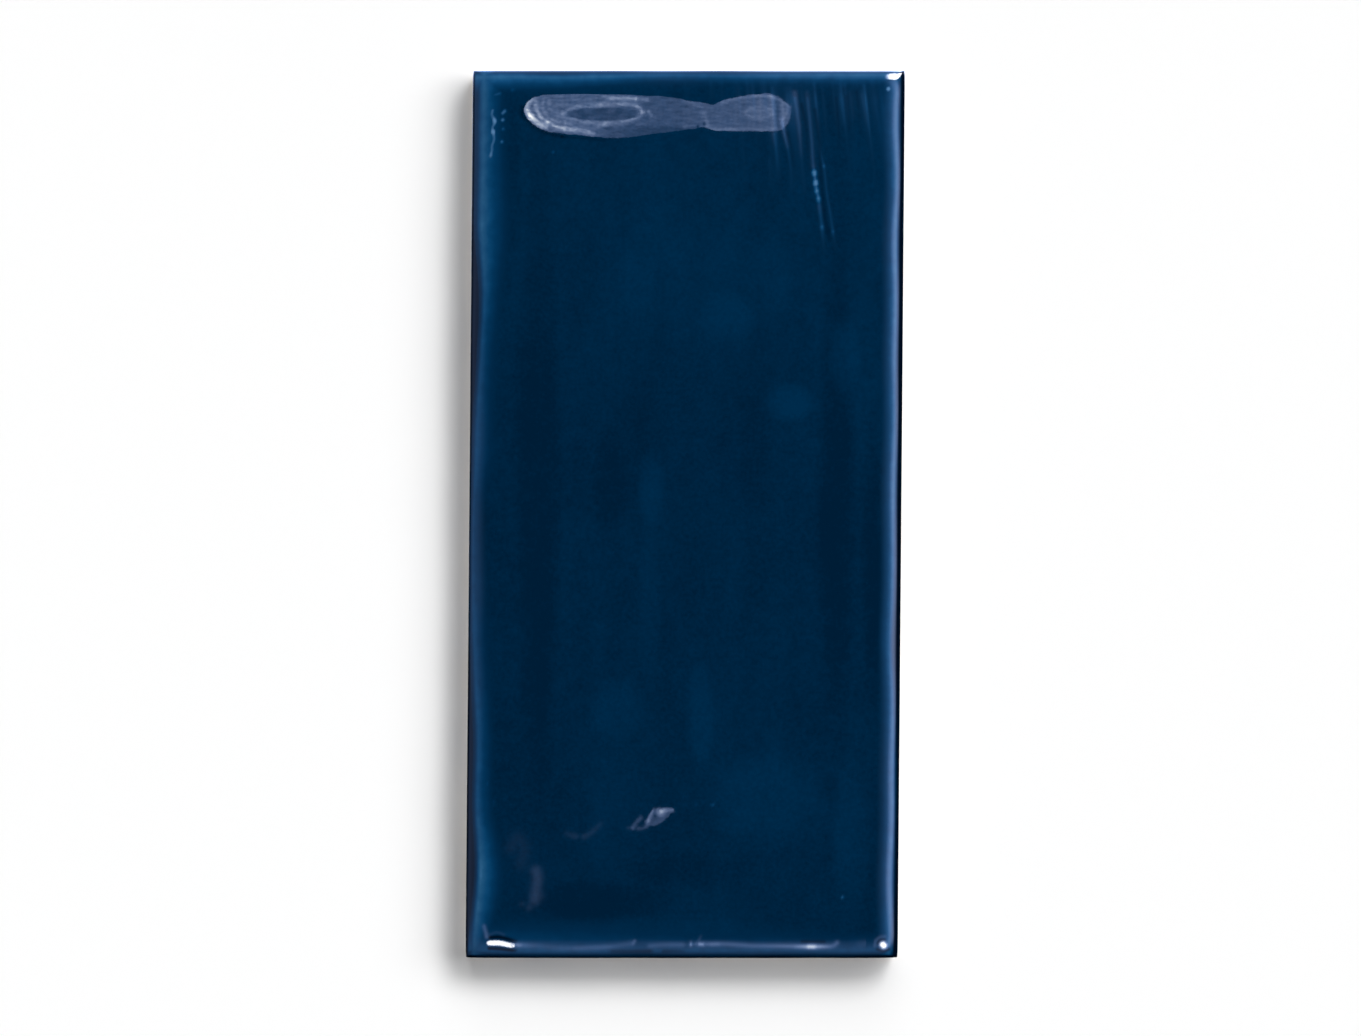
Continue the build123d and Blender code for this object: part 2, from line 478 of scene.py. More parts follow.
# %% A loop further out and down
def rounded(across, along, half_across, half_along, radius):
    """The same loop with its square corners drawn in to a radius."""
    over_across = np.abs(across) - (half_across - radius)
    over_along = np.abs(along) - (half_along - radius)
    inside = (over_across <= 0) | (over_along <= 0)
    longest = np.maximum(over_across, over_along)
    share = np.where(inside, 1, longest / np.maximum(np.hypot(over_across, over_along), 1e-9))
    near_across = np.sign(across) * (half_across - radius + over_across * share)
    near_along = np.sign(along) * (half_along - radius + over_along * share)
    return np.where(inside, across, near_across), np.where(inside, along, near_along)


def loop_points(out, height):
    """Points of the loop moved out from the face's edge, at a height, in metres."""
    across = loop_across + out * way_across
    along = loop_along + out * way_along
    reach = np.clip(np.mean(out) / ARRIS_REACH, 0, 1)
    if reach > 0:
        mean_out = float(np.mean(out))
        across, along = rounded(across, along, half_width + mean_out, half_length + mean_out,
                                CORNER_RADIUS * float(reach))
    return np.column_stack([across + lean(along), along, np.broadcast_to(height, across.shape)]) * MM


# %% [markdown]
# The glaze stops a little above the back, in a line that wanders and sags into a few drips. There it is a
# tenth of a millimetre thick, so the bare clay below it stands back by that much.

# %% Loops from the arris to the back
ARRIS_STEPS = 8
SIDE_STEPS = 5
GLAZE_FOOT = 1.9  # how far over the back the glaze stops
GLAZE_EDGE = 0.12  # its thickness there
GLAZE_WAVER = 0.28  # how far that line wanders up and down
DRIP_LENGTH = 0.35
GLAZE_FOOT_RANGE = (0.85, 3.2)

arris_turn = np.linspace(0, 1, ARRIS_STEPS + 1)[1:, None] * (math.pi / 2 - loop_slope) + loop_slope
arris_radius = ARRIS_REACH / (1 - np.sin(loop_slope))
arris_out = ARRIS_REACH * (np.sin(arris_turn) - np.sin(loop_slope)) / (1 - np.sin(loop_slope))
arris_height = loop_height - arris_radius * (np.cos(loop_slope) - np.cos(arris_turn))
side_top = arris_height[-1]

drips = np.clip(waves(41, loop_travel, 0, 31.0, count=7), 0, 2) ** 2
glaze_foot = GLAZE_FOOT + GLAZE_WAVER * waves(42, loop_travel, 0, 13.0, count=6) - DRIP_LENGTH * drips
glaze_foot = np.clip(glaze_foot, *GLAZE_FOOT_RANGE)


def taper_in(height):
    """How far the side closes in below the arris, towards the back."""
    return np.tan(SIDE_TAPER) * (side_top - height)


print("glaze stops", glaze_foot.min().round(2), "to", glaze_foot.max().round(2), "mm over the back")

# %% Join the loops
GLAZE_LIP = 0.1  # height of the lip that the glaze ends in
GLAZE_BULGE = 0.05  # how far the glaze stands out over its lip
# Height over the foot, and the share of the glaze's thickness that the loop stands back by
UNDER_LIP = ((0.0, 0.35), (-0.06, 1.0))

loops = [loop_points(out, height) for out, height in zip(arris_out, arris_height)]
for step in range(1, SIDE_STEPS + 1):
    share = step / SIDE_STEPS
    height = side_top + (glaze_foot + GLAZE_LIP - side_top) * share
    bulge = GLAZE_BULGE * math.sin(math.pi * share**3)
    loops.append(loop_points(ARRIS_REACH - taper_in(height) + bulge, height))
glaze_loops = len(loops)
for drop, set_back in UNDER_LIP:
    height = glaze_foot + drop
    loops.append(loop_points(ARRIS_REACH - taper_in(height) - GLAZE_EDGE * set_back, height))
for share in (0.5, 1.0):
    height = glaze_foot + (BACK_CHAMFER - glaze_foot) * share
    loops.append(loop_points(ARRIS_REACH - taper_in(height) - GLAZE_EDGE, height))
loops.append(loop_points(ARRIS_REACH - taper_in(0.0) - GLAZE_EDGE - BACK_CHAMFER, 0.0))
print(len(loops), "loops, of which", glaze_loops, "are glazed")

# %% [markdown]
# ## The keyed back
#
# The back has ten round-ended grooves, pressed in so that the adhesive keys to it. Their mouths are holes in
# the back's flat face. Blender fills a face with holes when it is given all of the edges at once.

# %% Groove outlines
GROOVE_END_STEPS = 10

groove_pitch = GROOVE_WIDTH + GROOVE_LAND
groove_count = int((TILE_WIDTH - 2 * BACK_BORDER + GROOVE_LAND) // groove_pitch)
groove_turn = -math.atan2(OUT_OF_SQUARE, TILE_LENGTH)


def groove_outline(middle, shrink, height):
    """The outline of a groove, drawn in by shrink, at a height over the back, in metres."""
    radius = GROOVE_WIDTH / 2 - shrink
    straight = TILE_LENGTH / 2 - BACK_BORDER - GROOVE_WIDTH / 2
    points = []
    for end in (1, -1):
        for step in range(GROOVE_END_STEPS + 1):
            turn = math.pi * step / GROOVE_END_STEPS
            x, y = end * radius * math.cos(turn), end * (straight + radius * math.sin(turn))
            points.append((x * math.cos(groove_turn) - y * math.sin(groove_turn) + middle,
                           x * math.sin(groove_turn) + y * math.cos(groove_turn), height))
    return np.array(points) * MM


print(groove_count, "grooves", GROOVE_WIDTH, "mm wide and", GROOVE_DEPTH, "mm deep")

# %% [markdown]
# All points go into one list and all faces into another. Faces above the foot of the glaze take the first
# material, and the rest the second.

# %% Build the mesh
GLAZE, CLAY = 0, 1

points, faces, finish = [], [], []


def band(upper, lower, material):
    """Adds the quads that join two rings of points."""
    for here in range(len(upper)):
        after = (here + 1) % len(upper)
        faces.append((upper[after], upper[here], lower[here], lower[after]))
        finish.append(material)


surface = np.column_stack([
    (grid_across + lean(grid_along)).ravel(), grid_along.ravel(), grid_height.ravel()
]) * MM
points.append(surface)
width_count = len(columns)
for row in range(last_row):
    for column in range(last_column):
        first = row * width_count + column
        faces.append((first, first + 1, first + width_count + 1, first + width_count))
        finish.append(GLAZE)

previous = [row * width_count + column for row, column in loop]
start = len(surface)
for number, ring in enumerate(loops):
    points.append(ring)
    current = list(range(start, start + len(ring)))
    start += len(ring)
    band(previous, current, GLAZE if number <= glaze_loops else CLAY)
    previous = current
back_loop = previous
print(sum(map(len, points)), "points and", len(faces), "faces before the back")

# %% Add the back and its grooves
mouth_rings = []
for number in range(groove_count):
    middle = groove_pitch * (number - (groove_count - 1) / 2)
    mouth = groove_outline(middle, 0.0, 0.0)
    bed = groove_outline(middle, GROOVE_DEPTH * math.tan(GROOVE_WALL_ANGLE), GROOVE_DEPTH)
    count = len(mouth)
    points += [mouth, bed]
    lower, upper = list(range(start, start + count)), list(range(start + count, start + 2 * count))
    start += 2 * count
    band(upper, lower, CLAY)
    faces.append(tuple(reversed(upper)))
    finish.append(CLAY)
    mouth_rings.append(lower)

mesh = bpy.data.meshes.new("wall_tile_glazed")
mesh.from_pydata(np.concatenate(points).tolist(), [], faces)
mesh.polygons.foreach_set("material_index", finish)
shape = bmesh.new()
shape.from_mesh(mesh)
shape.verts.ensure_lookup_table()
border = []
for ring in [back_loop] + mouth_rings:
    for first, second in zip(ring, ring[1:] + ring[:1]):
        border.append(shape.edges.get((shape.verts[first], shape.verts[second])))
filled = bmesh.ops.triangle_fill(shape, edges=border, use_beauty=True, normal=(0, 0, -1))
for piece in filled["geom"]:
    if isinstance(piece, bmesh.types.BMFace):
        piece.material_index = CLAY
bmesh.ops.recalc_face_normals(shape, faces=shape.faces[:])
open_edges = sum(1 for edge in shape.edges if not edge.is_manifold)
shape.to_mesh(mesh)
shape.free()
print("closed mesh" if open_edges == 0 else f"{open_edges} open edges", len(mesh.polygons), "faces",
      sum(len(face.vertices) - 2 for face in mesh.polygons), "triangles")

# %% [markdown]
# Gloss glaze is shaded smooth. The clay's back is pressed flat with crisp grooves, so its faces stay flat,
# and so does the small step under the glaze.

# %% Smooth and flat faces
tile = bpy.data.objects.new("tile", mesh)
bpy.context.scene.collection.objects.link(tile)
smooth = np.zeros(len(mesh.polygons), bool)
smooth[: len(finish)] = np.array(finish) == GLAZE
mesh.polygons.foreach_set("use_smooth", smooth)
print(int(smooth.sum()), "smooth faces")

# %% [markdown]
# ## How thick the glaze lies
#
# Cobalt glaze is a coloured glass: where it lies thick it looks nearly black, and where it runs thin over an
# edge or a ridge the pale clay shines through and it turns a lighter blue. The thickness is stored on the
# mesh as a number at each vertex. That is exact and follows every mark. Round each edge it goes through the
# same three stages: a dark rim, partly glaze gathered at the arris and partly painted shade of the steep
# arris, a light band where it runs thin over the roll, and a slow return to full depth. How far in they lie
# differs along each side.

# %% Smooth tables
def smooth_table(stations, table):
    """The columns of a short table at stations along its first column, joined by smooth curves."""
    table = np.array(table, float)
    known = table[:, 0]
    stations = np.clip(stations, known[0], known[-1])
    part = np.clip(np.searchsorted(known, stations, side="right") - 1, 0, len(known) - 2)
    width = known[part + 1] - known[part]
    share = (stations - known[part]) / width
    results = []
    for values in table[:, 1:].T:
        slopes = np.gradient(values, known)
        rise_before, rise_after = slopes[part] * width, slopes[part + 1] * width
        results.append(
            values[part] * (1 + 2 * share) * (1 - share) ** 2 + rise_before * share * (1 - share) ** 2
            + values[part + 1] * share**2 * (3 - 2 * share) + rise_after * share**2 * (share - 1))
    return results


# Pixel along the side, then in millimetres from the edge: end of the dark rim, which is partly painted shade,
# top of the light band and its inner end. Last comes how thin the glaze is there
LEFT_BAND = [(72, 0.3, 2.0, 6.8, 0.95), (156, 0.4, 2.0, 7.2, 0.96), (228, 0.5, 1.9, 8.0, 1.0),
             (300, 1.5, 2.5, 6.4, 0.78), (372, 0.95, 1.8, 5.6, 0.68), (444, 0.3, 1.3, 5.4, 0.74),
             (516, 0.0, 0.7, 3.4, 0.6), (590, 0.0, 0.85, 4.4, 0.64), (660, 0.4, 1.3, 4.8, 0.7),
             (732, 1.0, 2.0, 5.4, 0.78), (804, 1.0, 2.0, 5.6, 0.8), (876, 1.4, 2.5, 7.4, 1.1),
             (957, 0.3, 1.4, 5.0, 0.8)]
RIGHT_BAND = [(72, 0.7, 1.45, 5.8, 0.84), (136, 0.7, 1.45, 5.4, 0.9), (168, 0.7, 1.4, 4.6, 0.92),
              (300, 0.8, 1.45, 4.4, 0.94), (516, 0.8, 1.5, 4.2, 0.88), (600, 0.9, 1.6, 4.2, 0.88),
              (650, 1.15, 1.9, 4.4, 0.86), (690, 0.82, 1.5, 4.2, 0.86), (957, 0.8, 1.5, 4.4, 0.88)]
HEAD_BAND = [(473, 0.0, 1.3, 6.0, 1.0), (510, 0.0, 1.3, 5.2, 0.92), (562, 0.3, 1.5, 4.8, 0.85),
             (588, 0.0, 1.3, 4.2, 0.9), (614, 0.0, 1.2, 3.8, 0.86), (650, 0.0, 1.1, 3.4, 0.75),
             (700, 0.0, 1.1, 3.4, 0.7), (744, 0.0, 1.1, 3.4, 0.76), (796, 0.0, 1.0, 3.4, 0.86),
             (848, 0.0, 0.9, 3.5, 0.92), (900, 0.2, 1.0, 3.8, 0.95)]
FOOT_BAND = [(466, 0.5, 1.5, 8.5, 0.74), (536, 0.35, 1.35, 8.8, 0.72), (640, 0.35, 1.35, 7.4, 0.64),
             (700, 0.4, 1.4, 6.6, 0.66), (822, 0.4, 1.4, 5.8, 0.66), (898, 0.5, 1.4, 5.4, 0.68)]
print(len(smooth_table(np.array([500.0]), LEFT_BAND)), "values a place along a side")


# %% Dark rim and light band
BAND_THINNESS, BLISTER_THINNESS_AND_GLINT, DRAG_THINNESS = 0.75, 1.2, 0.60
RIM_HEIGHTS = (5.4, 6.6)  # down the sides, the rim's dark fades between these heights
DRAINED_HEIGHT = 0.55  # how far over its foot the glaze has drained thin


def edge_band(distance, station, table):
    """The dark rim, partly painted shade, and the thin glaze at a distance from an edge, both 0 to 1."""
    dark, peak, inner, most = smooth_table(station, table)
    rim_and_shade = 1 - step_up(distance, dark - 0.28, dark + 0.22)
    going = np.clip((distance - peak) / (inner - peak), 0, 1)
    return rim_and_shade, most * step_up(distance, dark - 0.1, peak) * (1 - going) ** 1.5


x, y, z = np.array([vertex.co for vertex in mesh.vertices]).T / MM
across, along = x - lean(y), y
left, right, foot, head = to_edges(across, along)
pixel_x, pixel_y = pixel(across, along)
rims_and_shade, thins = zip(
    edge_band(left + 0.4 * wander(51, along), pixel_y, LEFT_BAND),
    edge_band(right + 0.3 * wander(52, along), pixel_y, RIGHT_BAND),
    edge_band(foot + 0.3 * wander(53, across), pixel_x, FOOT_BAND),
    edge_band(head + 0.3 * wander(54, across), pixel_x, HEAD_BAND),
)
# Painted shade in part: the dark rim darkens the glaze's colour along the arris
rim_and_shade = np.maximum.reduce(rims_and_shade)
thin = np.maximum.reduce(thins)
blisters, drags = blister_field(across, along), drag_field(across, along)
# Painted glint in part: blisters and beads get a milky, lighter colour
milky_and_glint = 0.9 * step_up(blisters, 0.3, 1.05) + 0.03 * drags
thin = np.clip(np.maximum(BAND_THINNESS * thin, BLISTER_THINNESS_AND_GLINT * blisters) + DRAG_THINNESS * drags, 0, 1)
# Painted shade: dark halos round the highlights and the shade under the foot line join the dark rim
rim_and_shade = np.clip(rim_and_shade + drawn(pixel_x, pixel_y, PAINTED_SHADE_AND_DARK_LINES), 0, 1)
rim_and_shade = rim_and_shade * (0.35 + 0.65 * step_up(z, *RIM_HEIGHTS)) * (1 - 0.8 * blisters)
foot_here = np.concatenate([np.full(len(surface), 0.0)] + [glaze_foot] * len(loops))
foot_here = np.concatenate([foot_here, np.full(len(z) - len(foot_here), TILE_THICKNESS)])
drained = 1 - step_up(z - foot_here, 0.0, DRAINED_HEIGHT)
stored_fields = {"thin_glaze": np.maximum(thin * (1 - rim_and_shade), 0.55 * drained), "rim_and_shade": rim_and_shade * (1 - drained),
                 "scuff": np.clip(drags, 0, 1), "milky_and_glint": milky_and_glint}
for name, values in stored_fields.items():
    stored = mesh.attributes.new(name, "FLOAT", "POINT")
    stored.data.foreach_set("value", np.clip(values, 0, 1).astype(np.float32))
print("thin glaze on", int((thin > 0.2).sum()), "of", len(thin), "points")

# %% [markdown]
# ## Writing shaders as sums
#
# A material is a graph of nodes, and a formula in it is easier to read as a formula. The small class below
# wraps one output of a node. Plain arithmetic on it adds Math nodes, and one method adds any other node.

# %% The shader helper
class Wire:
    """One output of a shader node. Arithmetic on it adds Math nodes to the same tree."""

    def __init__(self, tree, output=None):
        self.tree, self.output = tree, output

    def node(self, kind, settings=None, inputs=None, output=0):
        """Adds a node: its settings first, then the values or links of its inputs."""
        made = self.tree.nodes.new(kind)
        for name, value in (settings or {}).items():
            if name == "stops":
                set_stops(made.color_ramp, value)
            else:
                setattr(made, name, value)
        for name, value in (inputs or {}).items():
            if isinstance(value, Wire):
                self.tree.links.new(value.output, made.inputs[name])
            else:
                made.inputs[name].default_value = value
        return Wire(self.tree, made.outputs[output]) if made.outputs else made

    def math(self, operation, *values):
        return self.node("ShaderNodeMath", {"operation": operation}, dict(enumerate(values)))

    def __add__(self, other):
        return self.math("ADD", self, other)

    def __radd__(self, other):
        return self.math("ADD", other, self)

    def __sub__(self, other):
        return self.math("SUBTRACT", self, other)

    def __rsub__(self, other):
        return self.math("SUBTRACT", other, self)

    def __mul__(self, other):
        return self.math("MULTIPLY", self, other)

    def __rmul__(self, other):
        return self.math("MULTIPLY", other, self)

    def __truediv__(self, other):
        return self.math("DIVIDE", self, other)

    def __rtruediv__(self, other):
        return self.math("DIVIDE", other, self)

    def __pow__(self, other):
        return self.math("POWER", self, other)

    def axis(self, name):
        """One coordinate of a vector."""
        return self.node("ShaderNodeSeparateXYZ", inputs={"Vector": self}, output=name)

    def step_up(self, low, high):
        """From 0 where this is low to 1 where it is high, with soft ends."""
        return self.node("ShaderNodeMapRange", {"interpolation_type": "SMOOTHSTEP"},
                         {"Value": self, "From Min": low, "From Max": high})


def set_stops(ramp, stops):
    """Gives a colour ramp its stops, as (place, colour) pairs."""
    while len(ramp.elements) > 1:
        ramp.elements.remove(ramp.elements[-1])
    for number, (where, colour) in enumerate(stops):
        element = ramp.elements[0] if number == 0 else ramp.elements.new(where)
        element.position, element.color = where, colour


def mix(first, second, share):
    """A colour between two colours, by share from 0 to 1."""
    return share.node("ShaderNodeMix", {"data_type": "RGBA"}, {0: share, 6: first, 7: second}, output=2)


def blank_material(name):
    """A new material with nothing in it but its output, and a wire to start from."""
    material = bpy.data.materials.new(name)
    material.use_nodes = True
    material.node_tree.nodes.clear()
    return material, Wire(material.node_tree)


def linear(red, green, blue):
    """A colour as the screen shows it, 0 to 255, as the linear colour that shaders use."""
    values = [value / 255 for value in (red, green, blue)]
    return [v / 12.92 if v <= 0.04045 else ((v + 0.055) / 1.055) ** 2.4 for v in values] + [1.0]


print("middle grey on the screen is", round(linear(128, 128, 128)[0], 3), "to a shader")

# %% [markdown]
# ## The glaze
#
# The glaze has three things to show: its depth of colour, its cloudiness and its gloss. The depth comes from
# the stored thickness, darker on the stored rim, which is partly painted shade, and milky where a blister
# stands, which is partly a painted glint. The cloudiness is low noise drawn out along the tile, the way the
# dip ran off, with a few thicker and thinner places. The gloss is sharp, with only a breath of orange peel,
# and a little duller along the drag lines.

# %% Glaze material
DEEP_GLAZE = linear(0, 29, 54)
OPEN_GLAZE = linear(0, 43, 75)
# Painted shade in part: the near-black colour of the dark rim along the arris
RIM_GLAZE_AND_SHADE = linear(0, 8, 23)
# From full depth to where the clay shines through
THINNING = [(0.0, linear(0, 36, 64)), (0.19, linear(1, 40, 71)), (0.38, linear(3, 52, 89)),
            (0.56, linear(12, 68, 110)), (0.75, linear(30, 84, 124)), (1.0, linear(52, 104, 146))]
# Painted glint in part: the milky colour over blisters and beads
MILKY_GLAZE_AND_GLINT = linear(92, 132, 174)
# Cloudy places: across, along, half width, half length, and how much lighter or darker
CLOUDS = [(-24.8, 8.0, 3.6, 52.0, -0.42), (25.5, 2.0, 3.0, 40.0, -0.35), (17.5, 18.8, 4.0, 3.2, 0.55),
          (27.0, 26.0, 2.6, 6.5, 0.5), (-5.7, 4.2, 2.2, 6.5, 0.45), (-6.0, -14.0, 2.0, 14.0, 0.25),
          (-11.5, -33.0, 4.5, 5.0, 0.3), (2.6, -34.0, 2.2, 9.0, 0.35), (13.5, -48.0, 9.0, 8.0, 0.4),
          (-16.0, -65.5, 11.0, 3.6, -0.4), (0.0, -60.0, 10.0, 3.2, -0.25), (-8.0, -71.6, 28.0, 3.6, 0.35),
          (28.0, -56.0, 3.0, 14.0, 0.3), (-8.0, 41.0, 3.0, 9.0, 0.2), (7.0, 33.0, 4.5, 4.0, 0.3),
          (14.5, 40.0, 4.0, 7.0, 0.3), (-30.0, 52.0, 2.6, 16.0, -0.25), (32.0, -8.0, 2.2, 24.0, -0.35),
          (-12.5, 5.0, 3.0, 9.0, -0.25)]
CLOUD_LEVEL = 0.33  # the face's usual share of open glaze
# Waves to the metre, detail, and how far the noise swings
LONG_CLOUDS, SHORT_CLOUDS, MOTTLE = (110, 2.0, 0.8), (420, 4.0, 0.56), (1500, 2.0, 0.92)
HEAD_LIGHTENS = (8.0, 42.0)  # places along between which the glaze opens a little
GLAZE_ROUGHNESS = 0.012

glaze, wire = blank_material("cobalt_glaze")
where = wire.node("ShaderNodeTexCoord", output="Object")
at_across, at_along = where.axis("X") / MM, where.axis("Y") / MM
stored_thin, stored_rim_and_shade, stored_scuff, stored_milky_and_glint = [
    wire.node("ShaderNodeAttribute", {"attribute_name": name}, output="Fac") for name in stored_fields]


def noise(coordinates, scale, detail=2.0, roughness=0.5):
    """Soft noise around 0.5, scale waves to the metre."""
    return coordinates.node("ShaderNodeTexNoise", inputs={
        "Vector": coordinates, "Scale": scale, "Detail": detail, "Roughness": roughness})


def swing(coordinates, scale, detail, amount):
    """Soft noise that swings around 0."""
    return (noise(coordinates, scale, detail) - 0.5) * amount


run_off = where.node("ShaderNodeMapping", inputs={"Vector": where, "Scale": (1.0, 0.32, 1.0)})
cloud = CLOUD_LEVEL + swing(run_off, *LONG_CLOUDS) + swing(where, *SHORT_CLOUDS)
cloud = cloud + swing(where, *MOTTLE) + 0.2 * at_along.step_up(*HEAD_LIGHTENS)
for across_at, along_at, half_across, half_along, change in CLOUDS:
    far = ((at_across - across_at) / half_across) ** 2 + ((at_along - along_at) / half_along) ** 2
    cloud = cloud + change * (1 - far.step_up(0.0, 1.6))
thinness = stored_thin * (0.74 + 0.52 * noise(where, 500, 3.0))
thinning = wire.node("ShaderNodeValToRGB", {"stops": THINNING}, {"Fac": thinness})
body_colour = mix(DEEP_GLAZE, OPEN_GLAZE, cloud)
thin_colour = mix(body_colour, thinning, thinness.step_up(0.0, 0.22))
# Painted shade and painted glint in part: the rim darkens the glaze and the milky colour lightens it
glaze_colour = mix(mix(thin_colour, MILKY_GLAZE_AND_GLINT, stored_milky_and_glint), RIM_GLAZE_AND_SHADE, stored_rim_and_shade)

peel = noise(where, 700, 2.0)
gloss = GLAZE_ROUGHNESS + swing(where, 160, 3.0, 0.008) + 0.02 * stored_scuff
relief = wire.node("ShaderNodeBump", inputs={"Strength": 0.05, "Distance": 0.00001, "Height": peel})
glaze_shader = wire.node("ShaderNodeBsdfPrincipled", inputs={
    "Base Color": glaze_colour, "Roughness": gloss, "IOR": 1.5, "Normal": relief})
wire.node("ShaderNodeOutputMaterial", inputs={"Surface": glaze_shader})
print("glaze made with", len(glaze.node_tree.nodes), "nodes")

# %% [markdown]
# ## The bare clay
#
# The body is a pale, slightly warm clay, dry to the touch. It has fine grain, warmer blotches where it dried
# unevenly, and a few iron specks. All three are noise at different sizes, as no two tiles are alike.

# %% Clay material
PALE_CLAY = linear(219, 210, 197)
WARM_CLAY = linear(204, 190, 170)
IRON_SPECK = linear(120, 84, 60)

clay, wire = blank_material("bare_clay")
where = wire.node("ShaderNodeTexCoord", output="Object")
blotch = noise(where, 90, 4.0).step_up(0.35, 0.7)
speck = noise(where, 2600, 1.0).step_up(0.72, 0.78)
grain = noise(where, 3800, 3.0, 0.7)
clay_colour = mix(mix(PALE_CLAY, WARM_CLAY, blotch), IRON_SPECK, speck * 0.7)
relief = wire.node("ShaderNodeBump", inputs={"Strength": 0.5, "Distance": 0.00006, "Height": grain})
clay_shader = wire.node("ShaderNodeBsdfPrincipled", inputs={
    "Base Color": clay_colour, "Roughness": 0.9, "Normal": relief})
wire.node("ShaderNodeOutputMaterial", inputs={"Surface": clay_shader})
mesh.materials.append(glaze)
mesh.materials.append(clay)
print("clay made with", len(clay.node_tree.nodes), "nodes")

# %% [markdown]
# ## The studio
#
# The floor is a plain white sheet. It is one-sided, so that the tile can also be looked at from below. The
# shadow in the picture falls to the lower left with a long soft tail, and it is a little wider at the foot
# than at the left. Three broad suns share the work: one more from the head, one more from the right, and a
# very soft one from the head. A fill from overhead that casts no shadow keeps the shadow pale, and one from
# below lights the back. All of them are kept out of the gloss, which is lit by a tent of its own.

# %% Floor
FLOOR_HALF = 30.0
FLOOR_DROP = 0.00005
PAPER_WHITE = (0.96, 0.96, 0.96, 1.0)

floor_mesh = bpy.data.meshes.new("floor")
floor_mesh.from_pydata([(-FLOOR_HALF, -FLOOR_HALF, 0), (FLOOR_HALF, -FLOOR_HALF, 0),
                        (FLOOR_HALF, FLOOR_HALF, 0), (-FLOOR_HALF, FLOOR_HALF, 0)], [], [(0, 1, 2, 3)])
floor = bpy.data.objects.new("floor", floor_mesh)
floor.location.z = -FLOOR_DROP
floor.visible_shadow = False
floor.visible_glossy = False
bpy.context.scene.collection.objects.link(floor)
paper, wire = blank_material("white_paper")
paper_shader = wire.node("ShaderNodeBsdfDiffuse", inputs={"Color": PAPER_WHITE})
clear = wire.node("ShaderNodeBsdfTransparent")
behind = wire.node("ShaderNodeNewGeometry", output="Backfacing")
paper_side = wire.node("ShaderNodeMixShader", inputs={0: behind, 1: paper_shader, 2: clear})
wire.node("ShaderNodeOutputMaterial", inputs={"Surface": paper_side})
floor_mesh.materials.append(paper)
print("floor", 2 * FLOOR_HALF, "m square")

# %% Suns
# How far the shadow reaches to the left and to the foot for each millimetre of height, the level to which the
# sun lights a floor, and its width in degrees
SUNS = {
    "head_light": (0.58, 0.82, 0.350, 24),
    "side_light": (1.03, 0.36, 0.318, 38),
    "soft_light": (0.08, 1.18, 0.214, 46),
    "overhead_fill": (0, 0, 0.126, 30),
    "under_fill": (0, 0, 0.6, 60),
}


def sun(name, reach_x, reach_y, level, softness):
    """A sun whose shadows reach so far for each millimetre of height, and that lights a floor to a level."""
    data = bpy.data.lights.new(name, "SUN")
    towards = np.array([reach_x, reach_y, 1.0])
    towards /= np.linalg.norm(towards)
    data.angle = math.radians(softness)
    data.energy = level * math.pi / towards[2]
    lamp = bpy.data.objects.new(name, data)
    lamp.rotation_mode = "QUATERNION"
    lamp.rotation_quaternion = Vector(towards).to_track_quat("Z", "Y")
    lamp.visible_glossy = False
    bpy.context.scene.collection.objects.link(lamp)
    return lamp


suns = {name: sun(name, *values) for name, values in SUNS.items()}
suns["overhead_fill"].data.use_shadow = False
suns["under_fill"].rotation_quaternion = Vector((0, 0, -1)).to_track_quat("Z", "Y")
print("suns", {name: round(lamp.data.energy, 2) for name, lamp in suns.items()})

# %% [markdown]
# The room beyond the floor is white up to the horizon, so that the floor runs into it without a line, and
# nearly dark overhead, so that it doesn't light the tile a second time.

# %% Room
ROOM_LEVEL, HORIZON_LEVEL = 0.03, 0.95
HORIZON_FADE = (0.01, 0.08)  # heights of the line of sight over which the white goes

world = bpy.data.worlds.new("room")
bpy.context.scene.world = world
world.use_nodes = True
world.node_tree.nodes.clear()
wire = Wire(world.node_tree)
look_up = wire.node("ShaderNodeTexCoord", output="Generated").axis("Z")
room_light = ROOM_LEVEL + HORIZON_LEVEL * (1 - look_up.step_up(*HORIZON_FADE))
backdrop = wire.node("ShaderNodeBackground", inputs={"Color": (1.0, 1.0, 1.0, 1.0), "Strength": room_light})
wire.node("ShaderNodeOutputWorld", inputs={"Surface": backdrop})
print("room made with", len(world.node_tree.nodes), "nodes")

# %% [markdown]
# ## The tent in the gloss
#
# Gloss is only as good as what it mirrors. A photographer surrounds a glazed tile with cards: a bright one
# low on the right, a dim one on the left, and dark ones elsewhere, so that the flat face stays deep and the
# rolled edges light up. Here one dome holds all the cards. Its brightness at a point depends on how far that
# point lies from overhead and on which side, and only the gloss sees it. The lamps inside it are sheer: they
# add their light to the dome's and hide nothing, so they leave no dark shapes in the gloss from other sides.
#
# The glass tints what it mirrors a little: dim reflections look blue, and strong ones nearly white.

# %% Colour of a reflection
GLOSS_SHARE = 0.043  # of the light that the glaze mirrors at steep angles


def glow_colour(mirrored_blue):
    """Light that a lamp needs, as linear colours, for its mirror image to add this much blue to the glaze."""
    mirrored_blue = np.asarray(mirrored_blue, float)
    strong = np.clip(mirrored_blue - 0.1, 0, 9)
    red = mirrored_blue * np.clip(0.36 + 0.80 * strong, 0, 1)
    green = mirrored_blue * np.clip(0.52 + 0.65 * strong, 0, 1)
    opaque = np.ones_like(mirrored_blue)
    return np.stack([red / GLOSS_SHARE, green / GLOSS_SHARE, mirrored_blue / GLOSS_SHARE, opaque], -1)


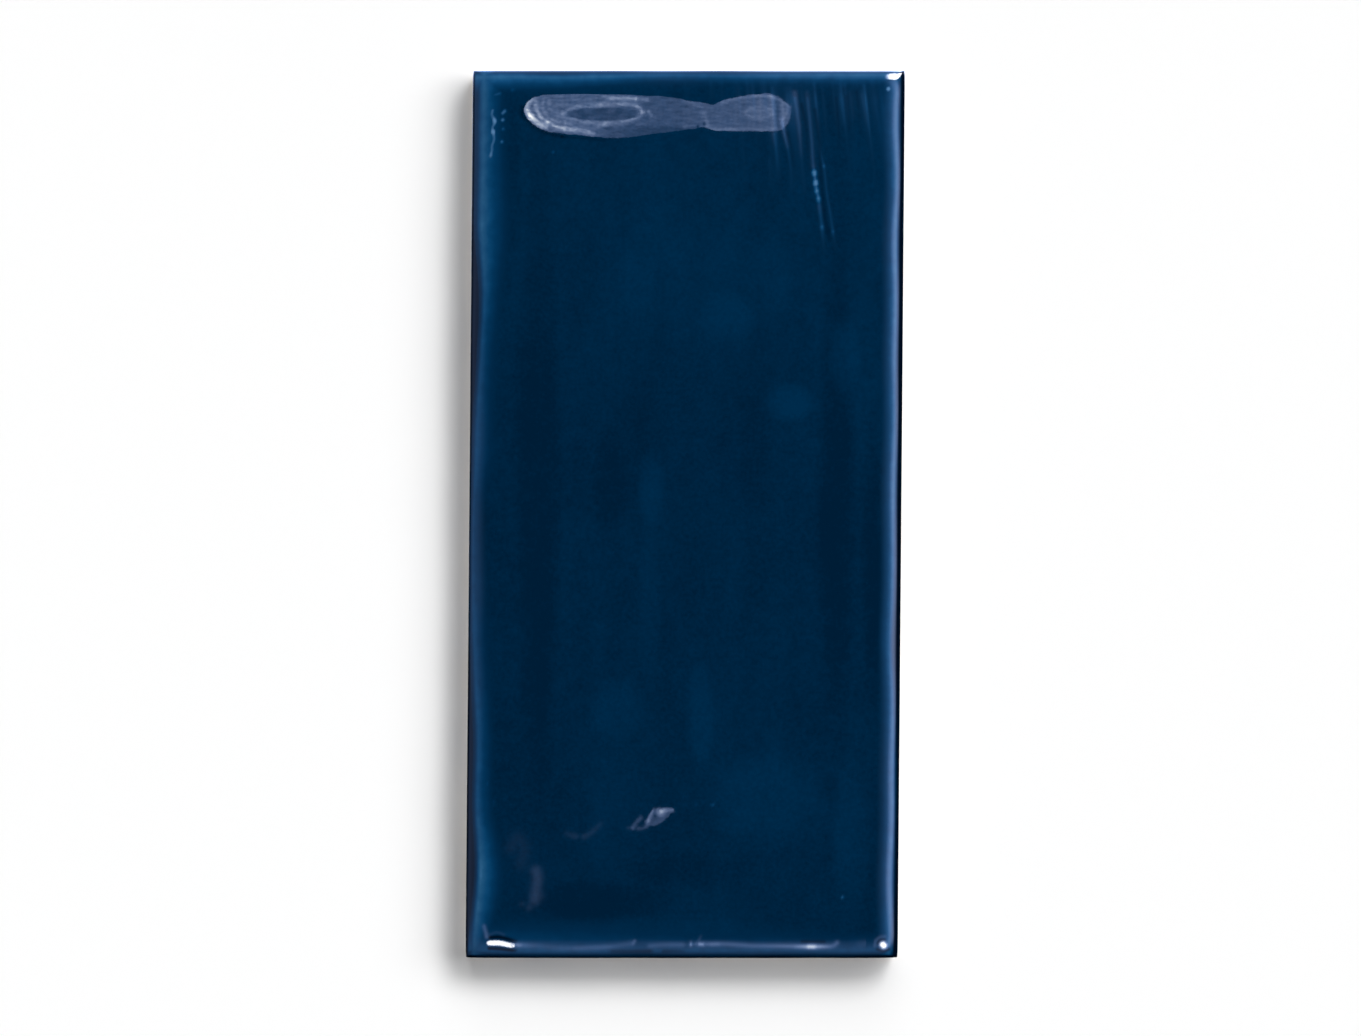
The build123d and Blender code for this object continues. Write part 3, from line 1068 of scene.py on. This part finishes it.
def glowing(name, points, faces, colours, sheer=True):
    """A mesh that glows in a colour at each point and that only the gloss sees. A sheer one hides nothing."""
    mesh = bpy.data.meshes.new(name)
    mesh.from_pydata(points.reshape(-1, 3).tolist(), [], faces)
    stored = mesh.attributes.new("glow", "FLOAT_COLOR", "POINT")
    stored.data.foreach_set("color", colours.reshape(-1).astype(np.float32))
    lamp = bpy.data.objects.new(name, mesh)
    bpy.context.scene.collection.objects.link(lamp)
    material, wire = blank_material(name)
    colour = wire.node("ShaderNodeAttribute", {"attribute_name": "glow"}, output="Color")
    glow = wire.node("ShaderNodeEmission", inputs={"Color": colour})
    if sheer:
        clear = wire.node("ShaderNodeBsdfTransparent")
        glow = wire.node("ShaderNodeAddShader", inputs={0: glow, 1: clear})
    wire.node("ShaderNodeOutputMaterial", inputs={"Surface": glow})
    material.cycles.emission_sampling = "NONE"
    mesh.materials.append(material)
    for kind in ("camera", "diffuse", "transmission", "volume_scatter", "shadow"):
        setattr(lamp, "visible_" + kind, False)
    return lamp


def sheet_faces(count_along, count_across):
    """Quads that join a grid of points, row by row."""
    return [
        (first, first + 1, first + count_across + 1, first + count_across)
        for row in range(count_along - 1)
        for first in range(row * count_across, (row + 1) * count_across - 1)
    ]


# %% The dome
DOME_RADIUS = 3.0
# Degrees from overhead, and how much blue the gloss mirrors from there
RIGHT_CARD = [(0, 0.0), (10, 0.001), (14, 0.005), (19, 0.010), (24, 0.016), (29.5, 0.028), (35, 0.056),
              (40, 0.14), (46, 0.225), (51, 0.195), (56, 0.08), (62, 0.012), (68, 0.0), (180, 0.0)]
LEFT_CARD = [(0, 0.0), (20, 0.001), (25, 0.004), (31, 0.010), (41, 0.022), (50, 0.030), (60, 0.036),
             (80, 0.036), (100, 0.012), (180, 0.008)]
FOOT_CARD = [(0, 0.0), (14, 0.0), (20, 0.003), (26, 0.010), (32, 0.020), (38, 0.026), (48, 0.026),
             (55, 0.022), (64, 0.008), (76, 0.001), (180, 0.0)]
HEAD_CARD = [(0, 0.0), (12, 0.0), (24, 0.001), (32, 0.003), (40, 0.006), (50, 0.012), (60, 0.020),
             (80, 0.035), (96, 0.05), (116, 0.16), (140, 0.3), (180, 0.3)]

CARDS = {"right": RIGHT_CARD, "left": LEFT_CARD, "head": HEAD_CARD, "foot": FOOT_CARD}


def dome_blue(x, y, z):
    """How much blue the gloss mirrors from a direction."""
    level = np.hypot(x, y)
    share_x, share_y = x / np.maximum(level, 1e-9), y / np.maximum(level, 1e-9)
    shares = {"right": np.clip(share_x, 0, 1) ** 2, "left": np.clip(-share_x, 0, 1) ** 2,
              "head": np.clip(share_y, 0, 1) ** 2, "foot": np.clip(-share_y, 0, 1) ** 2}
    drop = np.degrees(np.arctan2(level, z))
    return np.clip(sum(shares[side] * smooth_table(drop, CARDS[side])[0] for side in CARDS), 0, 9)


turn, drop = np.meshgrid(np.linspace(0, 2 * math.pi, 121), np.radians(np.linspace(0, 180, 181)))
dome_points = np.stack([np.sin(drop) * np.cos(turn), np.sin(drop) * np.sin(turn), np.cos(drop)], -1)
dome_colours = glow_colour(dome_blue(*np.moveaxis(dome_points, -1, 0)))
dome = glowing("dome", dome_points * DOME_RADIUS, sheet_faces(*turn.shape), dome_colours, sheer=False)
print("dome with", len(dome.data.polygons), "faces")

# %% [markdown]
# Past the head end stands one more card, close by. The roll at that end mirrors it, faintly at the left and
# brightly at the right corner, which has a white glint.

# %% The card past the head end
HEAD_CARD_AT = 275.0  # millimetres along
HEAD_CARD_ACROSS, HEAD_CARD_HEIGHTS = (-80, 260, 69), (-400, 230, 127)  # from, to, and how many points
# Height in millimetres, and how much blue the gloss mirrors from there
HEAD_CARD_GLOW = [(-400, 0.6), (-200, 0.6), (-98, 0.45), (-21, 0.2), (35, 0.07), (115, 0.04), (230, 0.0)]
LEFT_FADE, LEFT_SHARE = (-15, 30), 0.35  # places across over which it dims, and what is left
RIGHT_FADE, RIGHT_FADE_TOP = (110, 190), (20, 90)  # its low part ends here, for the sake of the long side
GLINT_LAMP = ((184, 156), 94.0, 1.6)  # across and height of its middle, reach, and strength

card_across, card_height = np.meshgrid(np.linspace(*HEAD_CARD_ACROSS), np.linspace(*HEAD_CARD_HEIGHTS))
card_glow = smooth_table(card_height, HEAD_CARD_GLOW)[0]
card_glow = card_glow * (LEFT_SHARE + (1 - LEFT_SHARE) * step_up(card_across, *LEFT_FADE))
card_glow = card_glow * (1 - step_up(card_across, *RIGHT_FADE) * (1 - step_up(card_height, *RIGHT_FADE_TOP)))
glint_at, glint_reach, glint = GLINT_LAMP
from_glint = np.hypot(card_across - glint_at[0], card_height - glint_at[1]) / glint_reach
card_glow = card_glow + glint * (1 - step_up(from_glint, 0.4, 1.3))
card_points = np.stack([card_across, np.full_like(card_across, HEAD_CARD_AT), card_height], -1) * MM
glowing("head_card", card_points, sheet_faces(*card_across.shape), glow_colour(np.clip(card_glow, 0, 9)))
print("head card reaches", card_glow.max().round(2))

# %% [markdown]
# ## Lamps seen in the gloss
#
# Each highlight on the tile is a lamp seen in the glaze. Rather than moving lamps about until the highlights
# fall in place, the lamp's shape is worked out backwards: a ray from the camera to each place of the
# highlight is mirrored off the face, and where it meets the lamp's height, the lamp has a point. The small
# marks in the glaze are left out of that, so they still bend the highlight, as they do on the real tile.
# Lamps placed by hand wouldn't match such uneven shapes, and painted highlights wouldn't move with the eye.

# %% Mirror a place of the face to a lamp's height
LAMP_HEIGHT = 300.0
LOW_LAMP_HEIGHT = 50.0  # for the rolled foot, whose waver would fold a far lamp over itself


def mirrored(across, along, height=LAMP_HEIGHT):
    """Where the camera's rays meet a height after the face mirrors them, in metres."""
    here = smooth_height(across, along)
    slope_x = (smooth_height(across + STEP, along) - smooth_height(across - STEP, along)) / (2 * STEP)
    slope_y = (smooth_height(across, along + STEP) - smooth_height(across, along - STEP)) / (2 * STEP)
    slope_y = slope_y - slope_x * OUT_OF_SQUARE / TILE_LENGTH
    normal = np.stack([-slope_x, -slope_y, np.ones_like(here)], -1)
    normal /= np.linalg.norm(normal, axis=-1, keepdims=True)
    point = np.stack([across + lean(along), along, here], -1)
    ray = point - np.array(camera_place)
    ray /= np.linalg.norm(ray, axis=-1, keepdims=True)
    ray = ray - 2 * np.sum(ray * normal, axis=-1, keepdims=True) * normal
    travel = (height - here) / ray[..., 2]
    return (point + ray * travel[..., None]) * MM


def lamp_sheet(name, pixel_x, pixel_y, mirrored_blue, height=LAMP_HEIGHT):
    """A glowing sheet whose mirror image covers a grid of pixels."""
    points = mirrored(*place(pixel_x, pixel_y), height)
    glowing(name, points, sheet_faces(*pixel_x.shape), glow_colour(np.clip(mirrored_blue, 0, 9)))
    low, high = points.reshape(-1, 3).min(0), points.reshape(-1, 3).max(0)
    print(name, "measures", (high - low)[:2].round(3), "m, round", ((high + low) / 2)[:2].round(3))


def oval(pixel_x, pixel_y, middle, half_x, half_y):
    """Distance from the middle of an oval, 1 on its rim."""
    return np.hypot((pixel_x - middle[0]) / half_x, (pixel_y - middle[1]) / half_y)


# %% [markdown]
# The long lamp at the head is a crumpled reflector, so its light lies in rings round a dark heart, with the
# brightest folds round its left end. Its outline is a table, and the folds are strokes.

# %% The long lamp
# Outline of its mirror image: pixel across, upper pixel, lower pixel
LONG_LAMP = [
    (524, 108, 112.5), (527, 102.3, 117.5), (531, 98.8, 121.8), (540, 95.5, 128.2), (560, 93.5, 133.3),
    (580, 93.2, 135), (600, 93.4, 137), (615, 94.2, 137.8), (645, 95, 134.8), (670, 96.8, 131.6),
    (690, 100.8, 129), (697, 101.7, 128.2), (701, 102.1, 127.2), (704, 102.7, 127.2), (709, 103.9, 129),
    (713, 104.8, 130), (717, 103, 130.5), (723, 100.2, 130.8), (737, 97, 131), (758, 93.4, 131.2),
    (771, 93.2, 131), (779, 97, 130.2), (784.5, 101.6, 127.4), (788.5, 104.4, 120.8), (791, 106.8, 112)]
LONG_LAMP_FOLDS = [
    ([(531, 99.5), (527, 104), (526.8, 110), (530.6, 116.4)], 2.7, 0.20, 0.50),
    ([(530.6, 116.4), (537, 122.4), (546, 127)], 2.5, 0.50, 0.26),
    ([(536, 99.5), (536.2, 108), (541, 117), (547.4, 122)], 1.9, 0.14, 0.32),
    ([(547.4, 122), (556, 126.6), (564, 128.4)], 2.0, 0.28, 0.22),
    ([(564, 128.4), (574, 129.6), (584, 130.6), (593, 134)], 2.3, 0.26, 0.12),
    ([(543, 102), (542.5, 109), (548, 116.5), (557, 121.5), (572, 124.6)], 1.7, 0.06, 0.08),
    ([(550, 102), (549.5, 108), (555, 114), (566, 119)], 1.9, 0.06, 0.06),
    ([(563, 113.5), (572, 107.5), (586, 106), (600, 105)], 1.9, 0.07, 0.11),
    ([(600, 105), (615, 104), (629, 104.2), (638, 106.6), (642, 111.5)], 1.9, 0.13, 0.17),
    ([(642, 111.5), (637, 117.5), (623, 121.3), (605, 123.6)], 1.9, 0.15, 0.12),
    ([(605, 123.6), (589, 122.5), (575, 119.5), (566, 116), (563, 113.5)], 1.9, 0.10, 0.09),
    ([(604, 96.6), (615, 98.1), (627, 98.3), (636, 99.3), (648, 99.2)], 1.7, 0.11, 0.12),
    ([(611, 98.2), (624, 97.9), (636, 98.4)], 1.9, 0.13, 0.10), ([(636, 99.4)], 1.9, 0.26, 0.26),
    ([(648.4, 111), (651.6, 115)], 1.8, 0.14, 0.14), ([(596, 127), (606, 125.6)], 1.6, 0.05, 0.05),
    ([(723, 102.5), (735, 98.8), (747, 96.2), (760, 95.2), (770, 95.6)], 1.9, 0.06, 0.09),
    ([(771, 96), (780, 100.4), (787, 105)], 1.5, 0.09, 0.06),
    ([(788, 106), (785.5, 115), (782, 124)], 1.5, 0.06, 0.04),
    ([(707, 126.5), (714, 128.8), (728, 129), (745, 129.4), (762, 129.6), (776, 128.6)], 1.8, 0.09, 0.06),
    ([(704, 112), (706, 119), (708, 125)], 2.2, 0.05, 0.05),
    ([(683, 100), (692, 103), (702, 107)], 2.0, 0.04, 0.04),
    ([(745, 111), (752, 107.8), (762, 107.2), (772, 109.5)], 1.5, 0.06, 0.06),
    ([(745, 113), (752, 117), (762, 118), (772, 115.6)], 1.5, 0.05, 0.05),
    ([(684, 126.4), (694, 125.2)], 1.2, 0.07, 0.05),
    ([(698, 126.6)], 1.6, -0.13, -0.13), ([(704, 123.8)], 1.7, -0.12, -0.12),
    ([(760, 97), (761, 126)], 1.7, 0.05, 0.04), ([(771.4, 95), (773.5, 129)], 1.8, 0.08, 0.06),
    ([(777, 99), (778.4, 127)], 1.8, -0.06, -0.05), ([(782.4, 103), (784, 126)], 1.7, 0.07, 0.07),
]
LAMP_TONE, HEART_TONE = 0.155, 0.075
DIMMING, BRIGHTENING = (590, 655), (675, 705)  # pixels across, between which its tone changes
LOWER_EDGE, LOWER_LEFT, LOWER_RIGHT = (124, 129), (592, 606), (690, 706)  # a dimmer strip at its lower edge
HEART, RIGHT_HEART = ((603.5, 114), 36, 6.6), ((759, 112.7), 16, 5.4)  # middle, half width, half height
RING_MIDDLE, RING_REACH = 600, 76  # rings spread from here
RINGS_END = (640, 672)


def within(table, count_across, count_along):
    """A grid of pixels that fills an outline given as a table."""
    even = np.linspace(0, 1, count_across)
    turn = (1 - np.cos(np.linspace(0, math.pi, count_across))) / 2
    stations = table[0][0] + (table[-1][0] - table[0][0]) * (0.35 * turn + 0.65 * even)
    upper, lower = smooth_table(stations, table)
    share = np.linspace(0, 1, count_along)[:, None]
    return np.broadcast_to(stations, (count_along, count_across)), lower + (upper - lower) * share


lamp_x, lamp_y = within(LONG_LAMP, 281, 57)
tone = LAMP_TONE - 0.05 * step_up(lamp_x, *DIMMING) + 0.022 * step_up(lamp_x, *BRIGHTENING)
lower = step_up(lamp_y, *LOWER_EDGE) * step_up(lamp_x, *LOWER_LEFT) * (1 - step_up(lamp_x, *LOWER_RIGHT))
heart = 1 - step_up(oval(lamp_x, lamp_y, *HEART), 0.9, 1.12)
right_heart = 1 - step_up(oval(lamp_x, lamp_y, *RIGHT_HEART), 0.8, 1.15)
tone = tone - 0.045 * lower + 0.03 * right_heart + drawn(lamp_x, lamp_y, LONG_LAMP_FOLDS)
tone = tone * (1 - heart) + heart * (HEART_TONE + 0.016 * waves(61, lamp_x, lamp_y, 14.0, 0.6))
depth = np.linspace(-1, 1, len(lamp_y))[:, None]
around = np.hypot((lamp_x - RING_MIDDLE) / RING_REACH, depth)
rings = np.sin(2 * math.pi * (5 * around + 0.5 * waves(64, lamp_x, lamp_y, 24.0, 0.6)))
rings = 0.11 * rings * step_up(around, 0.45, 0.6) * (1 - step_up(lamp_x, *RINGS_END))
crumple = 0.13 * waves(62, lamp_x, lamp_y, 13.0, 0.45) + 0.10 * waves(63, lamp_x, lamp_y, 5.5, 0.6)
lamp_sheet("long_lamp", lamp_x, lamp_y, tone * (1 + crumple + rings))

# %% [markdown]
# The other lamps are small: windows and gaps between the cards, seen as a slanted spark and some faint
# smudges low on the left, a line of light along the rolled foot, a white spark in each of its corners, and
# thin glints along the drag lines. Each is a box of the picture, with the strokes that light it.

# %% Shapes of the small lamps
# Boxes of the picture: left, upper, right, lower, and the spacing of its points
SPARK_BOX, SMUDGE_BOX = (620, 800, 684, 835, 0.8), (490, 814, 612, 922, 2.0)
FOOT_BOX, DRAG_BOX = (511, 933, 866, 953, 1.0), (700, 80, 886, 226, 1.2)
LEFT_BOX, RIGHT_BOX = (478, 922, 518, 952, 0.8), (868, 934, 892, 953, 0.8)
# Outlines are rows of pixel across, upper pixel and lower pixel
SPARK_OUTLINE = [(644.5, 821.8, 823.2), (647, 817.8, 824.8), (650, 812.8, 825.6), (652.5, 809, 825.8),
                 (657, 808.2, 824.6), (662, 808, 821.6), (668, 807.8, 816.4), (672, 807.9, 812.4),
                 (674.5, 809.5, 811.5)]
SPARK = [([(652.6, 810.5), (650.5, 816), (648.2, 821)], 1.6, 0.14, 0.14), ([(661, 812)], 4.0, 0.30, 0.30),
         ([(661, 811), (668, 810.4), (673, 810)], 2.0, 0.14, 0.12), ([(655.5, 815.5)], 2.2, -0.06, -0.06),
         ([(653, 824), (662, 820.5)], 1.8, 0.03, 0.03)]
SPARK_TAIL = [([(633, 827.6), (636, 823), (640.6, 818)], 2.0, 0.07, 0.08),
              ([(628, 828), (633, 827.6)], 1.8, 0.02, 0.05),
              ([(638, 828.4), (643, 828), (647, 826)], 1.8, 0.06, 0.05),
              ([(648.5, 821), (646, 826)], 1.8, 0.08, 0.05)]
SMUDGES = [([(566.5, 833.6), (576, 836.4)], 2.6, 0.014, 0.024),
           ([(584, 836.4), (591, 833), (601, 823.5)], 2.8, 0.024, 0.013),
           ([(536, 871), (537.6, 878), (536, 889), (534.5, 900)], 5.0, 0.046, 0.042),
           ([(529, 908)], 3.2, 0.022, 0.022), ([(522, 904)], 2.6, 0.018, 0.018),
           ([(511, 848), (518, 838), (524, 850), (521, 864)], 6.5, 0.011, 0.010),
           ([(541, 896)], 4.5, 0.012, 0.012)]
FOOT_LINE = [
    ([(514, 945), (540, 946), (563, 948.4), (590, 948.2), (612, 946.6), (632, 943.4)], 2.8, 0.035, 0.05),
    ([(513, 945), (520, 945.2)], 2.0, 0.16, 0.08), ([(518, 945.4), (540, 945.8)], 2.4, 0.09, 0.0),
    ([(575, 948), (610, 946.6)], 2.2, 0.03, 0.03),
    ([(634.5, 941), (633, 944)], 1.6, 0.10, 0.06),
    ([(650, 946), (665, 944.8), (682, 944.8)], 2.6, 0.06, 0.08),
    ([(690.8, 944.3)], 2.6, 0.26, 0.26), ([(698, 944.2), (704, 944.4)], 2.3, 0.21, 0.17),
    ([(711, 944.8), (718, 944.6)], 2.1, 0.06, 0.06), ([(699, 940), (701, 936)], 1.5, 0.04, 0.02),
    ([(700, 944.2), (723, 944), (752, 945.8), (770, 946), (788, 946.2), (812, 946.8), (828, 946.6),
      (834, 945.6), (837, 943)], 2.4, 0.11, 0.12),
    ([(760, 946), (811, 946.8)], 2.2, 0.0, 0.08), ([(812.6, 946.8), (830, 946.4)], 2.2, 0.08, 0.0),
    ([(796, 946.8), (807, 946.8)], 2.0, 0.04, 0.20), ([(816.5, 946.8), (829, 946.8)], 2.0, 0.20, 0.04),
    ([(809.5, 946.8), (813.5, 946.8)], 2.3, 0.42, 0.42),
    ([(860, 944), (874, 941.5)], 3.4, 0.02, 0.04),
]
BAR_OUTLINE = [(486.8, 942.0, 944.2), (488.4, 941.1, 945.3), (492, 940.7, 945.6), (500, 940.9, 945.8),
               (504, 941.6, 946.5), (508, 942.7, 947.3), (512.6, 943.6, 947.7), (514.4, 944.2, 947.2)]
BAR_SIDES = [([(484, 926.5), (485.6, 932), (486.6, 937)], 2.0, 0.09, 0.12),
             ([(489.5, 935.2), (496.7, 932.5), (504, 935)], 1.5, 0.02, 0.02)]
RIGHT_DOT = [([(883.0, 944.8), (884.0, 945.8)], 2.6, 1.9, 1.9),
             ([(875.2, 946), (876, 941), (880, 937.4), (885, 936.8)], 1.7, 0.07, 0.07)]
DRAG_GLINTS = [
    ([(781.7, 118), (783.3, 126.7), (785, 136.7), (787.5, 147)], 1.8, 0.10, 0.02),
    ([(794.6, 92), (799.2, 127), (801.7, 160)], 2.0, 0.085, 0.0),
    ([(807, 92), (811, 132), (813.4, 168)], 2.0, 0.024, 0.026), ([(813.8, 169), (817, 192)], 2.4, 0.09, 0.08),
    ([(817, 192), (820.4, 214)], 2.2, 0.07, 0.0), ([(772.6, 131), (775, 150)], 1.8, 0.03, 0.0),
    ([(850, 92), (853.6, 118)], 1.8, 0.010, 0.005), ([(862, 94), (866.4, 122)], 1.8, 0.010, 0.004),
]
FAN_GLINT = 0.012  # strength of the glints along the faint lines
FAN_GLINTS_LEFT, FAN_GLINTS_RIGHT, FAN_GLINTS_END = (700, 715), (872, 886), (112, 142)  # where they fade
FOOT_HAZE, FOOT_HAZE_MIDDLE = 0.01, 946
print(len(SMUDGES), "smudges,", len(FOOT_LINE), "strokes along the foot and", len(DRAG_GLINTS), "glints")

# %% The small lamps

def block(left, upper, right, lower, spacing=1.0):
    """A grid of pixels that fills a box of the picture."""
    across = np.linspace(left, right, round((right - left) / spacing) + 1)
    return np.meshgrid(across, np.linspace(lower, upper, round((lower - upper) / spacing) + 1))


def inside(pixel_x, pixel_y, table):
    """1 inside an outline given as a table, 0 outside, with a soft edge."""
    upper, lower = smooth_table(pixel_x, table)
    ends = step_up(pixel_x, table[0][0] - 0.7, table[0][0] + 0.7)
    ends = ends * (1 - step_up(pixel_x, table[-1][0] - 0.7, table[-1][0] + 0.7))
    return ends * step_up(pixel_y - upper, -0.7, 0.7) * step_up(lower - pixel_y, -0.7, 0.7)


def spark(x, y):
    """The slanted spark and its faint tail."""
    return inside(x, y, SPARK_OUTLINE) * (0.07 + drawn(x, y, SPARK)) + drawn(x, y, SPARK_TAIL)


def left_bar(x, y):
    """The white bar in the left corner, and the faint lines beside it."""
    return 1.1 * inside(x, y, BAR_OUTLINE) + drawn(x, y, BAR_SIDES)


def foot_light(x, y):
    """The line of light along the foot, in a faint haze."""
    return drawn(x, y, FOOT_LINE) + FOOT_HAZE * (1 - step_up(abs(y - FOOT_HAZE_MIDDLE), 3, 7))


def drag_light(x, y):
    """Glints along the drag lines, which come in and fade with them."""
    fade = step_up(x, *FAN_GLINTS_LEFT) * (1 - step_up(x, *FAN_GLINTS_RIGHT))
    faint = FAN_GLINT * drawn(x, y, fan()) * fade * (1 - step_up(y, *FAN_GLINTS_END))
    return (faint + drawn(x, y, DRAG_GLINTS)) * step_up(y, *DRAG_START)


SMALL_LAMPS = {  # box, height, and the blue that it mirrors at a pixel
    "spark": (SPARK_BOX, LAMP_HEIGHT, spark),
    "smudges": (SMUDGE_BOX, LAMP_HEIGHT, lambda x, y: drawn(x, y, SMUDGES)),
    "foot_line": (FOOT_BOX, LOW_LAMP_HEIGHT, foot_light),
    "left_corner": (LEFT_BOX, LOW_LAMP_HEIGHT, left_bar),
    "right_corner": (RIGHT_BOX, LOW_LAMP_HEIGHT, lambda x, y: drawn(x, y, RIGHT_DOT)),
    "drag_glints": (DRAG_BOX, LAMP_HEIGHT + 8, drag_light),
}
for name, (box, height, light) in SMALL_LAMPS.items():
    pixels = block(*box)
    lamp_sheet(name, *pixels, light(*pixels), height)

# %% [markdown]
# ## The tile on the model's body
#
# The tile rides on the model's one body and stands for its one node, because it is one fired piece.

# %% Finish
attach(tile, "root")
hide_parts("wall_tile")
